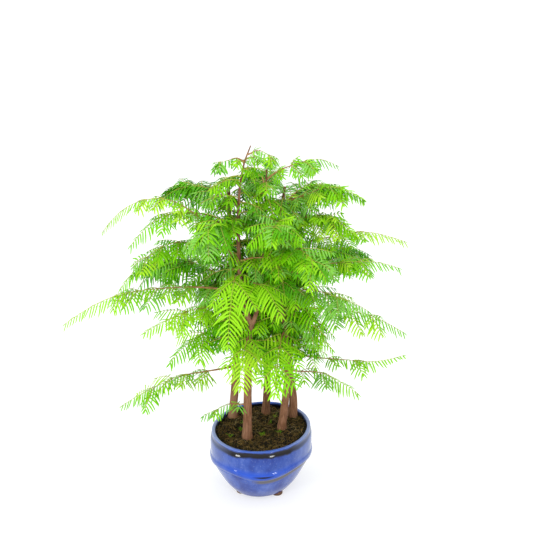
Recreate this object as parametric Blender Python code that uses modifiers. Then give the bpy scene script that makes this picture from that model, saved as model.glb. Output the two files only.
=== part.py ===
"""Dawn redwood bonsai forest: five young trunks with arching boughs of soft foliage in a blue glazed pot.

Metres, +Z up. The origin is on the pot's axis at the level of its feet, and the front of the pot faces -Y.
Trunks and boughs are tapering round limbs, and each mass of foliage is a thin, arched, uneven pad.
"""

import math
import random
from collections import namedtuple

import bmesh
import bpy
from mathutils import Matrix, Vector
from mathutils.bvhtree import BVHTree

OBJECT_NAME = "dawn_redwood_bonsai_forest"

# Clearance between pieces that touch
GAP = 0.0003

# Pot: an oval bowl whose long axis is turned from +X, with a ridge that waves round its belly
POT_HEIGHT = 0.100
POT_RIM_RADIUS = 0.077
POT_FLOOR_RADIUS = 0.046
POT_LONG_SHARE = 1.05
POT_SHORT_SHARE = 0.95
POT_LONG_AXIS = math.radians(58)
POT_WALL = 0.006
POT_LIP_FLAT = 0.0036
POT_FLOOR = 0.007
POT_RIDGE_HEIGHT = 0.054
POT_RIDGE_WAVE = 0.0035
POT_RIDGE_SPAN = 0.035
POT_RIDGE_CRESTS = 4
POT_RIDGE_TURN = math.radians(250)
POT_STEPS = 24

# The pot's outer face as radius and height, from the rim down to the base
POT_OUTLINE = (
    (POT_RIM_RADIUS, 0.0985), (0.0785, 0.086), (0.079, 0.070), (0.0775, 0.0575), (0.0735, 0.049),
    (0.066, 0.034), (0.059, 0.021), (0.051, 0.010), (0.044, 0.0035))

# Feet: four low round pads under the edge of the base
FOOT_COUNT = 4
FOOT_HEIGHT = 0.0035
FOOT_RADIUS = 0.0085
FOOT_RING_RADIUS = 0.038
FOOT_FIRST_ANGLE = math.radians(39)

SOIL_LEVEL = 0.094

# Trunks: the count of sections, and the flare at the foot, which starts a little under the soil's level
TRUNK_STEPS = 11
TRUNK_BURIED = 0.004
FLARE_HEIGHT = 0.011
FLARE_SHARE = 0.45

# Boughs: the base radius grows with the reach, and a limb runs a little way into its foliage
BOUGH_STEPS = 5
BOUGH_LEAST_RADIUS = 0.0014
BOUGH_RADIUS_SHARE = 0.0075
BOUGH_TAPER = 0.62
BOUGH_INTO_MASS = 0.10

# Masses: flattened balls that are broadest near the limb, droop at their edges and have an uneven outline
MASS_RINGS = 8
MASS_SIDES = 8
MASS_BREADTH = 1.1
MASS_TAPER = 0.62
MASS_TAPER_POWER = 1.5
MASS_EDGE_DROOP = 0.18
MASS_LUMPS = 0.15
MASS_FEWEST_WAVES = 2.2
MASS_MOST_WAVES = 3.4
MOST_SHELL = 3.0
CUTTER_SHELL = 1.4 * GAP
SEED = 7

# Trunk: the radii at its foot and top, and the few points its axis bends through, foot first
Trunk = namedtuple("Trunk", "name foot_radius top_radius points")
TRUNKS = (
    Trunk("front_trunk", 0.0068, 0.0008, (
        (-0.021, -0.026, 0.094), (-0.018, -0.021, 0.245), (-0.014, -0.018, 0.276), (-0.022, -0.013, 0.300),
        (-0.031, -0.006, 0.368), (-0.031, 0.000, 0.462), (-0.024, 0.000, 0.513), (-0.014, 0.000, 0.543))),
    Trunk("left_trunk", 0.0062, 0.0026, (
        (-0.044, 0.038, 0.094), (-0.037, 0.031, 0.223), (-0.044, 0.023, 0.360), (-0.046, 0.020, 0.475))),
    Trunk("back_trunk", 0.0058, 0.0012, (
        (0.007, 0.052, 0.094), (0.010, 0.048, 0.200), (0.004, 0.034, 0.330), (0.008, 0.024, 0.500))),
    Trunk("inner_right_trunk", 0.0060, 0.0016, (
        (0.031, 0.004, 0.094), (0.037, 0.008, 0.150), (0.039, 0.009, 0.210), (0.029, 0.005, 0.320),
        (0.026, -0.002, 0.430))),
    Trunk("right_trunk", 0.0064, 0.0020, (
        (0.048, 0.041, 0.094), (0.049, 0.042, 0.128), (0.042, 0.042, 0.175), (0.042, 0.042, 0.230),
        (0.045, 0.042, 0.281), (0.030, 0.040, 0.410), (0.034, 0.040, 0.469))),
)

# The front trunk's fork: a second stem that leaves it and rises to the right
FORK_RADIUS = 0.0036
FORK_TIP_RADIUS = 0.0018
FORK_STEPS = 8
FORK_POINTS = (
    (-0.015, -0.018, 0.272), (-0.006, -0.016, 0.300), (0.001, -0.011, 0.345), (0.004, -0.006, 0.400))

# Bough: the trunk and the height it springs from, the compass bearing in degrees from +X, its level
# reach, how far it lifts, how far its tip hangs below that, its foliage's width and depth, and the share
# of its length that is bare limb. A bough with no bare limb is foliage right from the trunk.
Bough = namedtuple("Bough", "name trunk height bearing reach lift drop width depth bare")
BOUGHS = (
    Bough("left_longest", "front_trunk", 0.325, 191, 0.256, 0.035, 0.062, 0.100, 0.012, 0.20),
    Bough("upper_left_long", "front_trunk", 0.370, 185, 0.192, 0.145, 0.092, 0.066, 0.012, 0.40),
    Bough("left_upper", "left_trunk", 0.420, 208, 0.153, 0.050, 0.056, 0.095, 0.014, 0.20),
    Bough("left_arching", "left_trunk", 0.375, 205, 0.169, 0.050, 0.078, 0.100, 0.014, 0.22),
    Bough("left_hanging", "front_trunk", 0.305, 210, 0.160, 0.020, 0.024, 0.105, 0.012, 0.22),
    Bough("left_middle", "left_trunk", 0.245, 225, 0.130, 0.030, 0.036, 0.100, 0.012, 0.30),
    Bough("low_left", "left_trunk", 0.185, 197, 0.178, -0.002, 0.039, 0.096, 0.010, 0.32),
    Bough("right_long", "right_trunk", 0.370, 353, 0.174, 0.045, 0.022, 0.090, 0.014, 0.25),
    Bough("right_upper", "right_trunk", 0.440, 345, 0.117, 0.045, 0.024, 0.092, 0.024, 0.25),
    Bough("right_shoulder", "right_trunk", 0.413, 333, 0.117, 0.035, 0.035, 0.088, 0.022, 0.32),
    Bough("right_front_upper", "inner_right_trunk", 0.345, 352, 0.170, 0.040, 0.017, 0.092, 0.014, 0.30),
    Bough("right_middle", "inner_right_trunk", 0.322, 332, 0.140, 0.018, 0.022, 0.105, 0.014, 0.22),
    Bough("right_drooping", "inner_right_trunk", 0.292, 345, 0.180, 0.018, 0.034, 0.100, 0.012, 0.22),
    Bough("low_right", "right_trunk", 0.205, 347, 0.174, -0.012, -0.025, 0.070, 0.010, 0.25),
    Bough("low_right_front", "inner_right_trunk", 0.190, 338, 0.112, 0.010, 0.028, 0.090, 0.011, 0.22),
    Bough("top_right", "back_trunk", 0.485, 358, 0.100, 0.040, 0.018, 0.070, 0.016, 0.15),
    Bough("front_left_hanging", "front_trunk", 0.350, 262, 0.114, 0.035, 0.092, 0.090, 0.012, 0.22),
    Bough("front_right_hanging", "front_trunk", 0.340, 301, 0.108, 0.030, 0.040, 0.082, 0.012, 0.22),
    Bough("back_middle_left", "left_trunk", 0.330, 155, 0.172, 0.030, 0.055, 0.125, 0.022, 0.20),
    Bough("front_low_left", "front_trunk", 0.262, 262, 0.087, 0.012, 0.054, 0.095, 0.014, 0.0),
    Bough("front_low_right", "inner_right_trunk", 0.258, 262, 0.112, 0.010, 0.060, 0.095, 0.014, 0.0),
    Bough("front_crossing", "front_trunk", 0.372, 338, 0.094, 0.022, 0.004, 0.046, 0.008, 0.0),
    Bough("lowest_left", "front_trunk", 0.152, 196, 0.067, 0.004, 0.015, 0.036, 0.008, 0.0),
    Bough("top_right_tuft", "front_trunk", 0.530, 333, 0.047, 0.014, 0.022, 0.034, 0.009, 0.0),
    Bough("top_left_tuft", "front_trunk", 0.520, 200, 0.046, 0.012, 0.020, 0.036, 0.009, 0.0),
    Bough("crown_front_left", "front_trunk", 0.435, 232, 0.100, 0.015, 0.030, 0.095, 0.024, 0.0),
    Bough("crown_front_right", "inner_right_trunk", 0.395, 305, 0.110, 0.015, 0.030, 0.105, 0.026, 0.0),
    Bough("crown_middle", "inner_right_trunk", 0.425, 262, 0.085, 0.030, 0.025, 0.105, 0.030, 0.0),
    Bough("back_top", "back_trunk", 0.470, 100, 0.108, 0.015, 0.035, 0.110, 0.028, 0.0),
    Bough("back_upper_right", "right_trunk", 0.440, 50, 0.127, 0.025, 0.040, 0.110, 0.030, 0.0),
    Bough("back_upper_left", "left_trunk", 0.455, 140, 0.132, 0.020, 0.045, 0.110, 0.026, 0.0),
    Bough("back_middle_right", "right_trunk", 0.335, 38, 0.162, 0.030, 0.050, 0.128, 0.026, 0.0),
    Bough("back_low", "back_trunk", 0.250, 95, 0.132, 0.025, 0.045, 0.120, 0.022, 0.0),
)


def clear_scene():
    """Remove every object of the open file."""
    for thing in list(bpy.data.objects):
        bpy.data.objects.remove(thing, do_unlink=True)


def new_collection(name):
    """A collection linked to the scene."""
    group = bpy.data.collections.new(name)
    bpy.context.scene.collection.children.link(group)
    return group


def plain_material(name, colour, roughness):
    """A Principled material with one colour and one roughness."""
    material = bpy.data.materials.new(name)
    material.use_nodes = True
    shader = material.node_tree.nodes["Principled BSDF"]
    shader.inputs["Base Color"].default_value = (*colour, 1.0)
    shader.inputs["Roughness"].default_value = roughness
    shader.inputs["Metallic"].default_value = 0.0
    return material


def face_outwards(shape):
    """Turn a closed body's faces so that they all point out."""
    bmesh.ops.recalc_face_normals(shape, faces=shape.faces)
    if shape.calc_volume(signed=True) < 0:
        bmesh.ops.reverse_faces(shape, faces=shape.faces)


def mesh_object(name, shape, group, material=None):
    """An object in a collection, made from a bmesh in flat triangles. The bmesh is freed."""
    face_outwards(shape)
    bmesh.ops.triangulate(shape, faces=shape.faces)
    mesh = bpy.data.meshes.new(name)
    shape.to_mesh(mesh)
    shape.free()
    thing = bpy.data.objects.new(name, mesh)
    group.objects.link(thing)
    if material:
        mesh.materials.append(material)
    return thing


def evaluated_bmesh(thing, weld=0.00001):
    """A bmesh of an object as its modifiers or its curve bevel leave it, with points this near joined."""
    shown = thing.evaluated_get(bpy.context.evaluated_depsgraph_get())
    mesh = bpy.data.meshes.new_from_object(shown)
    shape = bmesh.new()
    shape.from_mesh(mesh)
    bpy.data.meshes.remove(mesh)
    bmesh.ops.remove_doubles(shape, verts=shape.verts, dist=weld)
    return shape


def smooth_path(points, count):
    """Evenly numbered points on a curve that bends gently through the given ones."""
    stops = [Vector(p) for p in points]
    stops = [2 * stops[0] - stops[1], *stops, 2 * stops[-1] - stops[-2]]
    spans = len(points) - 1
    path = []
    for i in range(count):
        where = spans * i / (count - 1)
        k = min(int(where), spans - 1)
        t = where - k
        a, b, c, d = stops[k:k + 4]
        bend = 2 * b + (c - a) * t + (2 * a - 5 * b + 4 * c - d) * t ** 2 + (3 * b - a - 3 * c + d) * t ** 3
        path.append(bend / 2)
    return path


def limb(name, path, radii, group, material=None, grow=0.0, roundness=2):
    """A round tapering limb: a curve with a bevel and filled caps, made into a mesh."""
    curve = bpy.data.curves.new(name, "CURVE")
    curve.dimensions = "3D"
    curve.bevel_depth = 1.0
    curve.bevel_resolution = roundness
    curve.use_fill_caps = True
    line = curve.splines.new("POLY")
    line.points.add(len(path) - 1)
    for point, place, radius in zip(line.points, path, radii):
        point.co = (*place, 1.0)
        point.radius = radius + grow
    guide = bpy.data.objects.new(name, curve)
    bpy.context.scene.collection.objects.link(guide)
    shape = evaluated_bmesh(guide)
    bpy.data.objects.remove(guide)
    return mesh_object(name, shape, group, material)


def trunk_named(name):
    """The trunk of that name."""
    return next(trunk for trunk in TRUNKS if trunk.name == name)


def trunk_path(trunk):
    """A trunk's axis."""
    return smooth_path(trunk.points, TRUNK_STEPS * 2)


def place_on_trunk(trunk, height):
    """The point of a trunk's axis at a height."""
    path = trunk_path(trunk)
    for low, high in zip(path, path[1:]):
        if low.z <= height <= high.z:
            return low.lerp(high, (height - low.z) / (high.z - low.z))
    return path[-1].copy()


def trunk_radius(trunk, height):
    """A trunk's radius at a height: an even taper, with a root flare over the soil."""
    foot, top = trunk.points[0][2], trunk.points[-1][2]
    share = (height - foot) / (top - foot)
    even = trunk.foot_radius + (trunk.top_radius - trunk.foot_radius) * share
    flare = FLARE_SHARE * trunk.foot_radius * math.exp(-(height - foot) / FLARE_HEIGHT)
    return even + flare


def trunk_heights(trunk):
    """Where a trunk's sections lie: one under the soil's level, two in the flare, the rest evenly above."""
    foot, top = trunk.points[0][2], trunk.points[-1][2]
    flare = [foot - TRUNK_BURIED, foot + 0.8 * FLARE_HEIGHT, foot + 2 * FLARE_HEIGHT]
    rest = TRUNK_STEPS - len(flare)
    return flare + [flare[-1] + (top - flare[-1]) * (i + 1) / rest for i in range(rest)]


def build_trunk(trunk, group, material=None, grow=0.0):
    """One trunk, cut level just over the soil."""
    foot = Vector(trunk.points[0])
    path, radii = [], []
    for height in trunk_heights(trunk):
        above = max(height, foot.z)
        place = place_on_trunk(trunk, above)
        place.z = height
        path.append(place)
        radii.append(trunk_radius(trunk, above))
    thing = limb(trunk.name, path, radii, group, material, grow)
    cut_level(thing, SOIL_LEVEL + GAP)
    return thing


def cut_level(thing, height):
    """Cut a piece flat at a height and keep what is above."""
    shape = bmesh.new()
    shape.from_mesh(thing.data)
    everything = shape.verts[:] + shape.edges[:] + shape.faces[:]
    cut = bmesh.ops.bisect_plane(shape, geom=everything, plane_co=(0, 0, height), plane_no=(0, 0, 1),
                                 clear_inner=True)
    edges = [e for e in cut["geom_cut"] if isinstance(e, bmesh.types.BMEdge)]
    bmesh.ops.edgeloop_fill(shape, edges=edges)
    face_outwards(shape)
    shape.to_mesh(thing.data)
    shape.free()


def bough_point(bough, share):
    """The point of a bough's line at a share of its reach: it lifts early and hangs late."""
    start = place_on_trunk(trunk_named(bough.trunk), bough.height)
    bearing = math.radians(bough.bearing)
    out = bough.reach * share
    rise = bough.lift * (1 - (1 - share) ** 2) - bough.drop * share ** 3
    return start + Vector((out * math.cos(bearing), out * math.sin(bearing), rise))


def bough_radius(bough, share):
    """A bough's radius, in proportion to its reach and thinning outwards."""
    base = BOUGH_LEAST_RADIUS + BOUGH_RADIUS_SHARE * bough.reach
    return base * (1 - BOUGH_TAPER * share)


def build_bough(bough, group, material=None, grow=0.0):
    """A bough's bare limb, from inside its trunk to a little way into its foliage."""
    end = bough.bare + BOUGH_INTO_MASS
    shares = [end * i / (BOUGH_STEPS - 1) for i in range(BOUGH_STEPS)]
    path = [bough_point(bough, share) for share in shares]
    radii = [bough_radius(bough, share) for share in shares]
    return limb(bough.name + "_bough", path, radii, group, material, grow, roundness=1)


def build_mass(bough, group, material, chance):
    """A bough's foliage: a flattened ball drawn out along its line, arched across, with an uneven edge."""
    shape = bmesh.new()
    bmesh.ops.create_uvsphere(shape, u_segments=MASS_SIDES, v_segments=MASS_RINGS, radius=1.0)
    bearing = math.radians(bough.bearing)
    side = Vector((-math.sin(bearing), math.cos(bearing), 0))
    phase = chance.uniform(0, math.tau)
    waves = chance.uniform(MASS_FEWEST_WAVES, MASS_MOST_WAVES)
    for point in shape.verts:
        along, across, up = (1 - point.co.z) / 2, point.co.x, point.co.y
        share = bough.bare + (1 - bough.bare) * along
        outline = MASS_BREADTH - MASS_TAPER * along ** MASS_TAPER_POWER
        fullness = 1 + MASS_LUMPS * math.sin(math.tau * waves * along + phase + 1.5 * across)
        jitter = 1 + MASS_LUMPS * chance.uniform(-1, 1)
        breadth = across * bough.width / 2 * outline * fullness * jitter
        middle = bough_point(bough, share)
        droop = MASS_EDGE_DROOP * abs(breadth)
        depth = up * bough.depth / 2 * outline * (1 + MASS_LUMPS * chance.uniform(-1, 1))
        point.co = middle + side * breadth + Vector((0, 0, depth - droop))
    return mesh_object(bough.name + "_foliage", shape, group, material)


def swollen_copy(thing, amount, group):
    """A copy of a piece, larger by a clearance all round, to cut its neighbours with."""
    shape = bmesh.new()
    shape.from_mesh(thing.data)
    shape.normal_update()
    for point in shape.verts:
        point.co += point.normal * amount * min(point.calc_shell_factor(), MOST_SHELL)
    return mesh_object(thing.name + "_cutter", shape, group)


def tree_of(thing):
    """A search tree of a piece's faces."""
    shape = bmesh.new()
    shape.from_mesh(thing.data)
    tree = BVHTree.FromBMesh(shape)
    shape.free()
    return tree


def keep_largest(shape):
    """Delete all but the largest of a bmesh's separate bodies."""
    left = set(shape.verts)
    bodies = []
    while left:
        reached, front = set(), [left.pop()]
        while front:
            point = front.pop()
            reached.add(point)
            for edge in point.link_edges:
                other = edge.other_vert(point)
                if other in left:
                    left.discard(other)
                    front.append(other)
        bodies.append(reached)

    def size(body):
        spans = [max(v.co[i] for v in body) - min(v.co[i] for v in body) for i in range(3)]
        return spans[0] * spans[1] * spans[2]

    bodies.sort(key=size, reverse=True)
    for body in bodies[1:]:
        bmesh.ops.delete(shape, geom=list(body), context="VERTS")


def cut_round(thing, cutters):
    """Cut a piece back from each cutter that it meets, and keep its largest part."""
    tree = tree_of(thing)
    met = [cutter for cutter in cutters if tree.overlap(tree_of(cutter))]
    if not met:
        return
    for cutter in met:
        cut = thing.modifiers.new(cutter.name, "BOOLEAN")
        cut.operation = "DIFFERENCE"
        cut.solver = "EXACT"
        cut.object = cutter
    shape = evaluated_bmesh(thing, weld=0.0000002)
    thing.modifiers.clear()
    keep_largest(shape)
    face_outwards(shape)
    bmesh.ops.triangulate(shape, faces=shape.faces)
    shape.to_mesh(thing.data)
    shape.free()


def hide_cutters(group):
    """Cutters show as wire and don't render."""
    for thing in group.objects:
        thing.hide_render = True
        thing.display_type = "WIRE"


def turned(name, profile, group, material=None):
    """A solid turned about the Z axis from a profile that runs down its outer side, top to bottom."""
    mesh = bpy.data.meshes.new(name)
    mesh.from_pydata([(r, 0, z) for r, z in profile], [(i, i + 1) for i in range(len(profile) - 1)], [])
    guide = bpy.data.objects.new(name, mesh)
    bpy.context.scene.collection.objects.link(guide)
    screw = guide.modifiers.new("turn", "SCREW")
    screw.steps = POT_STEPS
    screw.render_steps = POT_STEPS
    screw.use_merge_vertices = True
    screw.merge_threshold = 0.00001
    shape = evaluated_bmesh(guide)
    bpy.data.objects.remove(guide)
    return mesh_object(name, shape, group, material)


def oval_place(place):
    """Where a point of the round pot lies on the oval one."""
    turned_back = Matrix.Rotation(-POT_LONG_AXIS, 3, "Z") @ place
    turned_back.x *= POT_LONG_SHARE
    turned_back.y *= POT_SHORT_SHARE
    return Matrix.Rotation(POT_LONG_AXIS, 3, "Z") @ turned_back


def ridge_lift(place):
    """How far the belly's wave lifts a point of the outer wall."""
    outer_skin = radius_at(wall_profile(POT_WALL / 2), place.z)
    if math.hypot(place.x, place.y) < outer_skin:
        return 0.0
    nearness = max(0.0, 1 - abs(place.z - POT_RIDGE_HEIGHT) / POT_RIDGE_SPAN)
    turn = math.atan2(place.y, place.x)
    return nearness * POT_RIDGE_WAVE * math.sin(POT_RIDGE_CRESTS * turn + POT_RIDGE_TURN)


def make_oval(thing):
    """Move a turned piece's points to the pot's oval, with the wave round its belly."""
    for point in thing.data.vertices:
        moved = oval_place(point.co)
        moved.z += ridge_lift(point.co)
        point.co = moved


def wall_profile(inset):
    """The pot's outer profile from the rim down to the base, moved inwards by a distance."""
    return [(radius - inset, height) for radius, height in POT_OUTLINE]


def inner_profile(clearance):
    """The pot's inner face from the top down to the floor, moved inwards by a clearance."""
    floor = FOOT_HEIGHT + POT_FLOOR
    upper = [(r, z) for r, z in wall_profile(POT_WALL + clearance) if z > floor + POT_WALL / 2]
    return [*upper, (POT_FLOOR_RADIUS - clearance, floor + clearance), (0.0, floor + clearance)]


def radius_at(profile, height):
    """A profile's radius at a height."""
    for (wide, high), (narrow, low) in zip(profile, profile[1:]):
        if low <= height <= high:
            return narrow + (wide - narrow) * (height - low) / (high - low)
    return profile[0][0]


def build_pot(pieces, cutters, material):
    """The bowl, open at the top, with its feet joined on."""
    middle_of_lip = POT_RIM_RADIUS - POT_WALL / 2
    lip = [(middle_of_lip - POT_LIP_FLAT / 2, POT_HEIGHT), (middle_of_lip + POT_LIP_FLAT / 2, POT_HEIGHT)]
    outside = [*wall_profile(0.0), (0.0, FOOT_HEIGHT)]
    inside = inner_profile(0.0)
    inside.reverse()
    pot = turned("pot", [*inside, *lip, *outside], pieces, material)
    make_oval(pot)
    for i in range(FOOT_COUNT):
        turn = FOOT_FIRST_ANGLE + math.tau * i / FOOT_COUNT
        join_foot(pot, turn, cutters)
    shape = evaluated_bmesh(pot)
    pot.modifiers.clear()
    shape.to_mesh(pot.data)
    shape.free()


def join_foot(pot, turn, cutters):
    """Join one round foot to the pot's underside."""
    shape = bmesh.new()
    height = FOOT_HEIGHT + POT_FLOOR / 2
    bmesh.ops.create_cone(shape, cap_ends=True, segments=12, radius1=FOOT_RADIUS, radius2=FOOT_RADIUS,
                          depth=height)
    middle = Vector((FOOT_RING_RADIUS * math.cos(turn), FOOT_RING_RADIUS * math.sin(turn), height / 2))
    bmesh.ops.translate(shape, verts=shape.verts, vec=middle)
    foot = mesh_object("foot_cutter", shape, cutters)
    union = pot.modifiers.new("foot", "BOOLEAN")
    union.operation = "UNION"
    union.solver = "EXACT"
    union.object = foot


def build_soil(group, material):
    """The soil that fills the pot to a little under its rim, with a flat top."""
    wall = inner_profile(GAP)
    edge = radius_at(wall, SOIL_LEVEL)
    below = [(radius, height) for radius, height in wall if height < SOIL_LEVEL]
    soil = turned("soil", [(0.0, SOIL_LEVEL), (edge, SOIL_LEVEL), *below], group, material)
    make_oval(soil)
    return soil


def build_fork(group, material=None, grow=0.0):
    """The front trunk's second stem."""
    path = smooth_path(FORK_POINTS, FORK_STEPS)
    thinning = (FORK_TIP_RADIUS - FORK_RADIUS) / (FORK_STEPS - 1)
    radii = [FORK_RADIUS + thinning * i for i in range(FORK_STEPS)]
    return limb("front_trunk_fork", path, radii, group, material, grow)


def main():
    clear_scene()
    pieces = new_collection(OBJECT_NAME)
    cutters = new_collection("cutters")
    glaze = plain_material("blue_glaze", (0.05, 0.11, 0.42), 0.25)
    earth = plain_material("moist_soil", (0.03, 0.02, 0.01), 0.95)
    bark = plain_material("reddish_bark", (0.22, 0.11, 0.06), 0.85)
    leaf = plain_material("soft_foliage", (0.20, 0.50, 0.06), 0.55)

    build_pot(pieces, cutters, glaze)
    build_soil(pieces, earth)

    wood_cutters = []
    for trunk in TRUNKS:
        build_trunk(trunk, pieces, bark)
        wood_cutters.append(build_trunk(trunk, cutters, grow=GAP))
    fork = build_fork(pieces, bark)
    cut_round(fork, wood_cutters)
    wood_cutters.append(build_fork(cutters, grow=GAP))
    for bough in BOUGHS:
        if bough.bare:
            wood = build_bough(bough, pieces, bark)
            cut_round(wood, wood_cutters)
    for bough in BOUGHS:
        if bough.bare:
            wood_cutters.append(build_bough(bough, cutters, grow=GAP))

    chance = random.Random(SEED)
    mass_cutters = []
    for bough in BOUGHS:
        mass = build_mass(bough, pieces, leaf, chance)
        cut_round(mass, wood_cutters + mass_cutters)
        mass_cutters.append(swollen_copy(mass, CUTTER_SHELL, cutters))
    hide_cutters(cutters)


main()
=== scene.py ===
"""The looks of a dawn redwood bonsai forest: glazed bowl, soil, fibrous bark, twigs and soft needles.

Metres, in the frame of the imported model. Boughs follow the same lines as the model's solids, and each
mass of foliage is replaced by side twigs that grow from its bough, with two ranks of needles on each.
"""

import math
import random
from collections import namedtuple

import bpy
import numpy as np
from mathutils import Matrix, Vector


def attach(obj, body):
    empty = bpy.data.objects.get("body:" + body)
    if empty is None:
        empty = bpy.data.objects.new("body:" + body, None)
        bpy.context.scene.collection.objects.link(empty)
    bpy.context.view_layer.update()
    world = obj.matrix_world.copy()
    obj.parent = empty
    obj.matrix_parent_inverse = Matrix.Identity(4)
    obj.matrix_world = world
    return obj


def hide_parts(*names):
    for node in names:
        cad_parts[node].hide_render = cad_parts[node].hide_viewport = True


SEED = 11
UP = np.array([0, 0, 1.0])

# Camera: the photograph's viewing angle
CAMERA_PLACE = (0.00794, -1.67637, 1.06672)
CAMERA_TILT = math.radians(67.2)
CAMERA_LENS = 85.58
CAMERA_SENSOR = 36.0

# Studio: a white world, soft square panels, and a floor whose own glow keeps it as white as the backdrop
WORLD_STRENGTH = 1.04
Panel = namedtuple("Panel", "name place size power")
PANELS = (
    Panel("left_panel", (-1.41, -1.42, 0.62), 0.38, 14),
    Panel("right_panel", (1.01, -1.60, 0.67), 0.26, 6),
    Panel("top_panel", (0.0, 0.3, 1.9), 0.8, 9),
)
PANEL_AIM = (0, 0, 0.25)
FLOOR_SIZE = 40
FLOOR_TONE = 0.52
FLOOR_GLOW = 0.58

# Pot: a round outline of radii and heights, squeezed to an oval, with a waved ridge and four feet
POT_RIM_RADIUS = 0.077
POT_LONG_SHARE = 1.05
POT_SHORT_SHARE = 0.95
POT_LONG_AXIS = math.radians(58)
POT_RIDGE_HEIGHT = 0.054
POT_RIDGE_WAVE = 0.0035
POT_RIDGE_SPAN = 0.035
POT_RIDGE_CRESTS = 4
POT_RIDGE_TURN = math.radians(250)
POT_OUTLINE = (
    (0.0728, 0.1000), (0.0748, 0.0999), (0.0761, 0.0990), (0.0764, 0.0976), (0.0761, 0.0958),
    (0.0763, 0.0936), (0.0776, 0.0906), (0.0784, 0.0868), (0.0786, 0.0800), (0.0785, 0.0730),
    (0.0782, 0.0670), (0.0794, 0.0641), (0.0796, 0.0612), (0.0788, 0.0575), (0.0768, 0.0545),
    (0.0744, 0.0525), (0.0731, 0.0485), (0.066, 0.034), (0.059, 0.021), (0.051, 0.010),
    (0.046, 0.0045), (0.043, 0.0035))
POT_INSIDE = ((0.0714, 0.088), (0.0711, 0.094), (0.0709, 0.0985), (0.0715, 0.0998))
POT_COLUMNS = 224
POT_ROWS = 150
POT_INSIDE_ROWS = 14
FOOT_COUNT = 4
FOOT_HEIGHT = 0.0035
FOOT_RADIUS = 0.0085
FOOT_SHARES = (0.9, 0.94, 1.0, 1.0, 0.9)
FOOT_LEVELS = (0.0, 0.0001, 0.0010, 0.0045, 0.008)
FOOT_SIDES = 32
FOOT_RING_RADIUS = 0.038
FOOT_FIRST_ANGLE = math.radians(39)

# Glaze: each band's middle and half width, in height, from the waved ridge or across the front
Band = namedtuple("Band", "middle half")
DARK_BAND = Band(0.0937, 0.0056)
DARK_WAVER = 0.012
DARK_STRETCH_GAIN = 1.3
DARK_STRETCH_LEAST = 0.42
LIP_LEVEL = 0.0986
LIP_FADE = 0.0008
RICH_BAND = Band(0.0095, 0.0090)
RICH_ACROSS = Band(-0.004, 0.085)
# Painted shade of a fold above the ridge: a short dark streak at the middle of the front
FOLD_SHADE_BAND = Band(0.0080, 0.0022)
FOLD_SHADE_ACROSS = Band(0.004, 0.018)
WORN_BAND = Band(-0.0022, 0.0066)
WORN_START = -0.014
WORN_FADE = 0.012
LACE_BAND = Band(0.026, 0.020)
GLAZE_FOOT_LEVEL = 0.030
GLAZE_FOOT_SHARE = 0.55
PATCH_SHARPNESS = 12.0
GLAZE_MOTTLES = ((0.30, (0.018, 0.040, 0.23)), (0.50, (0.034, 0.076, 0.33)), (0.70, (0.085, 0.14, 0.43)))
GLAZE_SPECK = (0.16, 0.21, 0.46)
GLAZE_DARK = (0.010, 0.009, 0.012)
# Painted reflection: the pale grey-blue given to the glaze towards its left and right sides
GLAZE_SIDE_REFLECTION = (0.17, 0.22, 0.42)
# The lip's own blue at the front, with painted reflection making it paler towards the sides
GLAZE_LIP_AND_SIDE_REFLECTION = ((0.35, (0.075, 0.15, 0.58)), (0.95, (0.30, 0.36, 0.66)))
GLAZE_RICH = (0.020, 0.078, 0.50)
# Painted shade of the fold above the ridge
GLAZE_FOLD_SHADE = (0.008, 0.010, 0.030)
GLAZE_WORN = (0.105, 0.100, 0.115)
GLAZE_LACE = (0.22, 0.24, 0.30)
GLAZE_FOOT = (0.045, 0.050, 0.14)

# Soil: a surface with one broad swell and finer waves, each a height, two rates of turn and a start
SOIL_LEVEL = 0.094
SOIL_RADIUS = 0.0708
SOIL_PROUD = 0.0004
SOIL_EDGE_DEPTH = 0.006
SOIL_RINGS = 90
SOIL_COLUMNS = 200
SOIL_CRUMB = 0.00028
SOIL_SWELL = 0.0011
SOIL_SWELL_RATES = (95, 80)
SOIL_SWELL_STARTS = (1.3, 0.4)
SOIL_WAVES = ((0.0007, 240, 190, 0.0), (0.0005, 520, -410, 2.0), (0.0004, 330, 700, math.pi / 2))

# Litter on the soil: strands of three kinds, and the clumps that the tufts stand in
Litter = namedtuple("Litter", "name count length radius lift dark light")
LITTER = (
    Litter("moss_fibres", 2600, 0.0045, 0.00017, 0.6, (0.026, 0.016, 0.005), (0.36, 0.22, 0.055)),
    Litter("rootlets", 110, 0.014, 0.00026, 0.12, (0.26, 0.18, 0.08), (0.48, 0.36, 0.20)),
    Litter("green_tufts", 90, 0.0032, 0.00028, 1.0, (0.12, 0.30, 0.006), (0.26, 0.50, 0.012)),
)
LITTER_PROUD = 0.0006
LITTER_REACH = 0.97
LITTER_MOST_REACH = 0.95
LITTER_TIP_REACH = 0.985
LITTER_SIZES = (0.5, 1.5)
LITTER_RISES = (0.3, 1.0)
LITTER_ARCH = 2.2
LITTER_TAPER = 0.6
LITTER_ROWS = 5
LITTER_SIDES = 4
CLUMPED_LITTER = "green_tufts"
CLUMP_COUNT = 7
CLUMP_REACH = 0.7
CLUMP_SPREAD = 0.0019

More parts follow.
